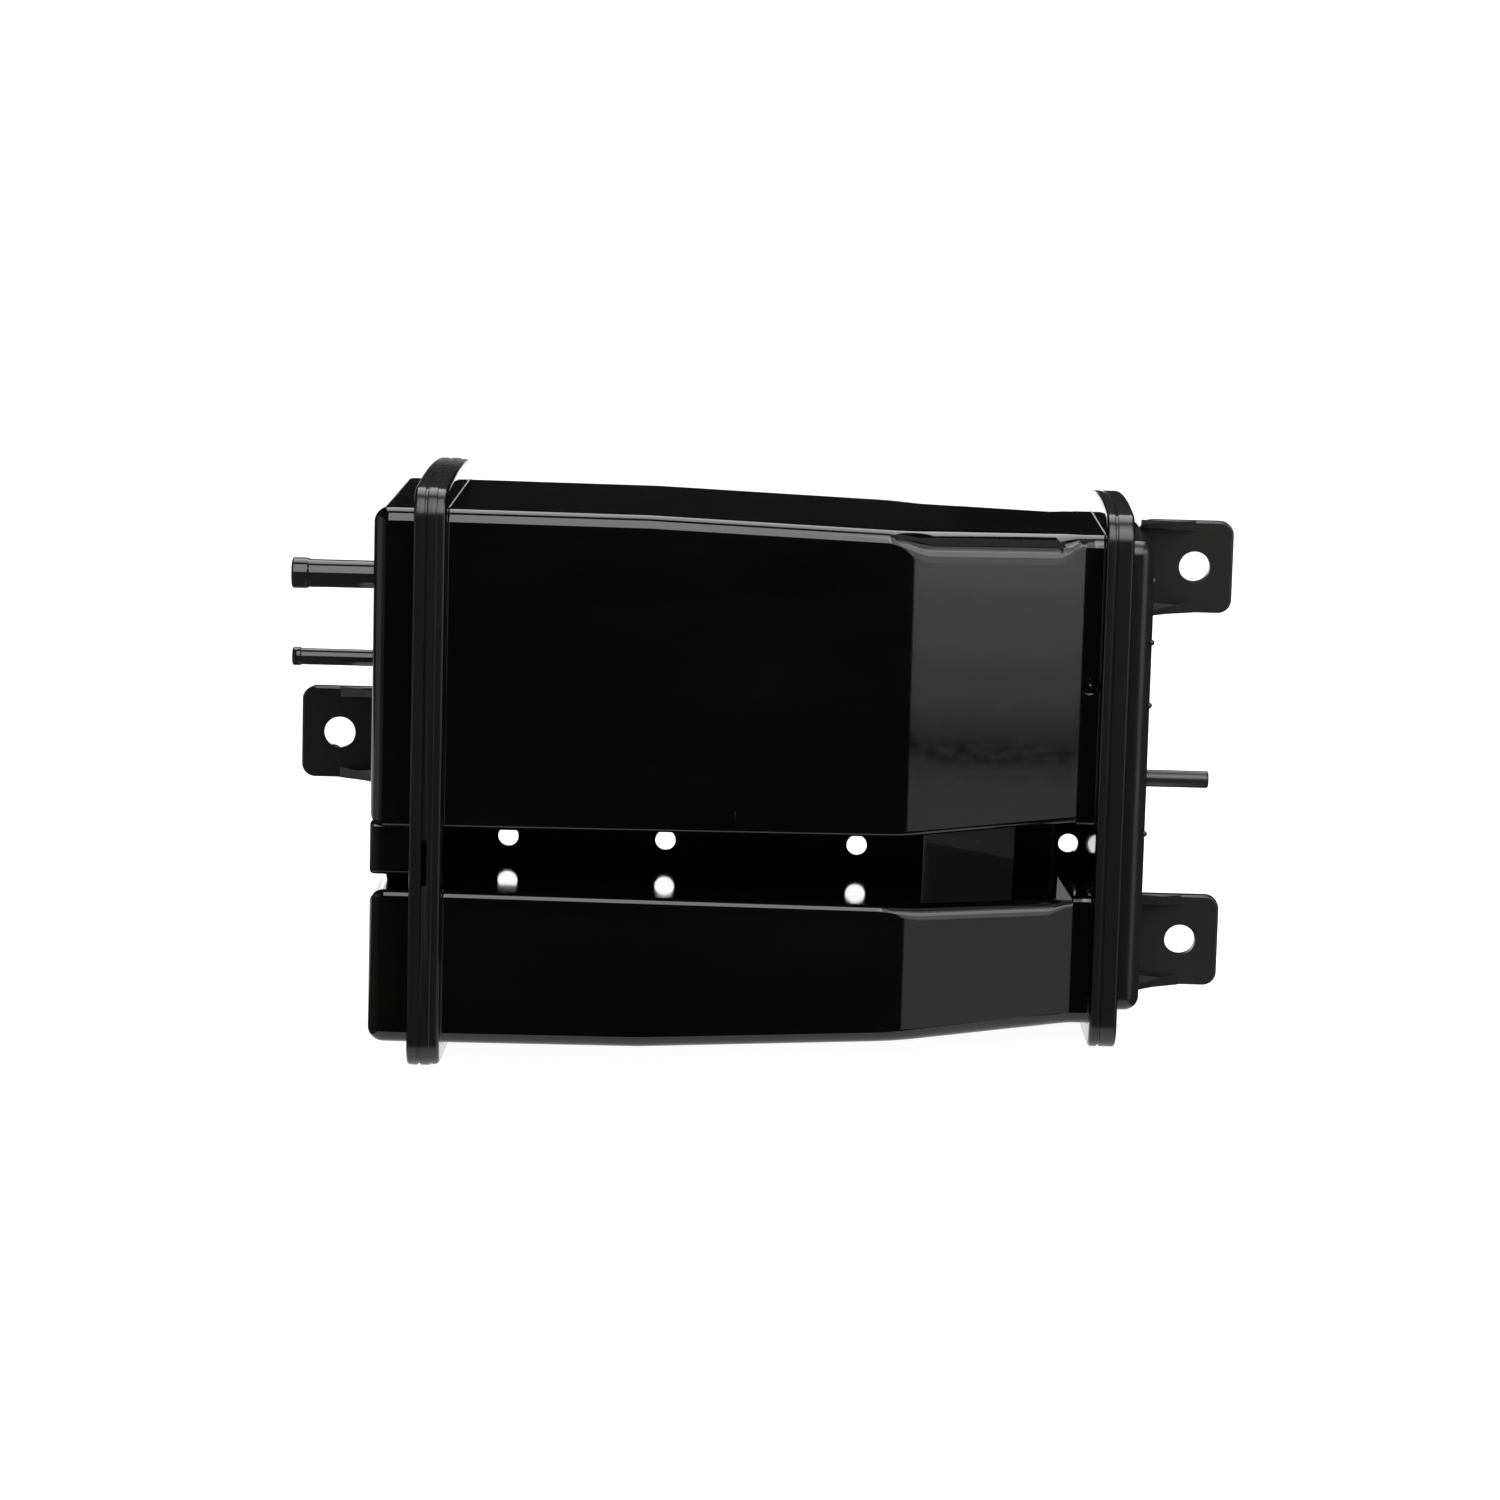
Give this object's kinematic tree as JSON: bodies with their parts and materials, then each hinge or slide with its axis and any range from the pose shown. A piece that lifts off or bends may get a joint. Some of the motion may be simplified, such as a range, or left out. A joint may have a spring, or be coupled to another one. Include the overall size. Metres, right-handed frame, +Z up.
{
  "type": "charcoal canister",
  "caption": "Gloss black moulded vapour canister with stacked tapered chambers, welded end caps, hose ports and bolt-on ears; its carbon beds hold fuel vapour.",
  "frame": {"origin": "under the middle of the canister, at the lowest point of the port flange", "axes": "+X along the case from the port cap to the vent cap, +Y from the front to the back where the ears bolt on, +Z up from the second chamber to the main chamber"},
  "size_m": [0.2728, 0.1022, 0.1674],
  "materials": {
    "shell_plastic": "gloss black moulded nylon",
    "grid_plastic": "dark grey moulded plastic",
    "filter_felt": "pale needled felt",
    "carbon": "black carbon pellets",
    "spring_steel": "drawn spring wire"
  },
  "bodies": {
    "root": {"canister_case": "shell_plastic", "port_cap": "shell_plastic", "vent_cap": "shell_plastic", "main_port_grid": "grid_plastic", "main_port_filter": "filter_felt", "main_carbon_bed": "carbon", "main_vent_filter": "filter_felt", "main_spring_plate": "grid_plastic", "second_port_grid": "grid_plastic", "second_port_filter": "filter_felt", "second_carbon_bed": "carbon", "second_vent_filter": "filter_felt", "second_spring_plate": "grid_plastic", "main_spring_upper": "spring_steel", "main_spring_lower": "spring_steel", "second_spring": "spring_steel"}
  },
  "joints": []
}
